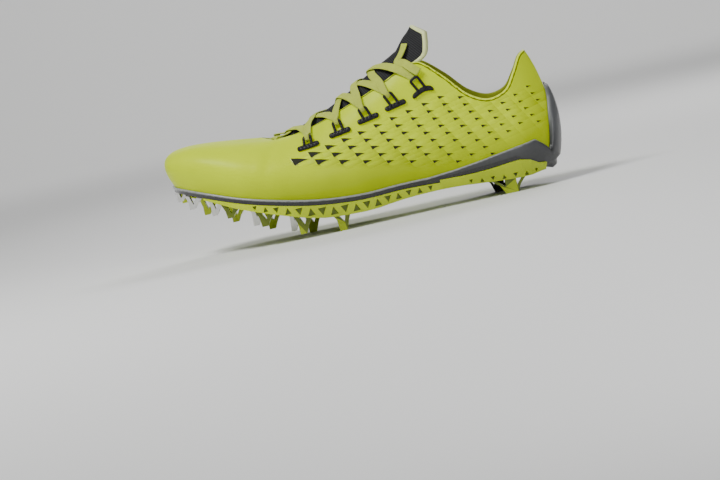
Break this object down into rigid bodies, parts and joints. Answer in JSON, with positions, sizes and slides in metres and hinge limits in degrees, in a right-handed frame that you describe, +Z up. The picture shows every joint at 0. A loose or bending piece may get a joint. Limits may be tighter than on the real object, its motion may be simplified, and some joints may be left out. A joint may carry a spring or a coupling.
{
  "type": "football cleat",
  "caption": "Low-cut football cleat for the left foot: moulded hollow upper, laced throat, padded tongue and a stiff plate with a studded moulded frame.",
  "frame": {"origin": "middle of the shoe's box, on the floor that its studs stand on", "axes": "+X to the heel, -X to the toe, -Y to the outer (lateral) side, +Y to the inner (medial) side, +Z up"},
  "size_m": [0.2986, 0.0941, 0.1372],
  "materials": {
    "volt_moulding": "satin moulded synthetic",
    "dark_plate": "glossy dark composite",
    "insole_foam": "matte foam with cloth cover",
    "frame_plastic": "semi-gloss moulded plastic",
    "stud_metal": "bright metal coat",
    "tongue_mesh": "ribbed mesh cloth",
    "loop_cord": "braided cord",
    "lace_webbing": "flat woven webbing"
  },
  "bodies": {
    "root": {"upper": "volt_moulding", "sole_plate": "dark_plate", "insole": "insole_foam", "outsole_frame": "frame_plastic", "stud_toe_1": "stud_metal", "stud_toe_2": "stud_metal", "stud_centre_1": "stud_metal", "stud_centre_2": "stud_metal", "stud_centre_3": "stud_metal", "heel_pad_medial": "dark_plate", "tongue": "tongue_mesh", "lace": "lace_webbing", "lace_end": "lace_webbing", "lace_loop_lateral_1": "loop_cord", "lace_loop_lateral_2": "loop_cord", "lace_loop_lateral_3": "loop_cord", "lace_loop_lateral_4": "loop_cord", "lace_loop_lateral_5": "loop_cord", "lace_loop_medial_1": "loop_cord", "lace_loop_medial_2": "loop_cord", "lace_loop_medial_3": "loop_cord", "lace_loop_medial_4": "loop_cord", "lace_loop_medial_5": "loop_cord"}
  },
  "joints": []
}
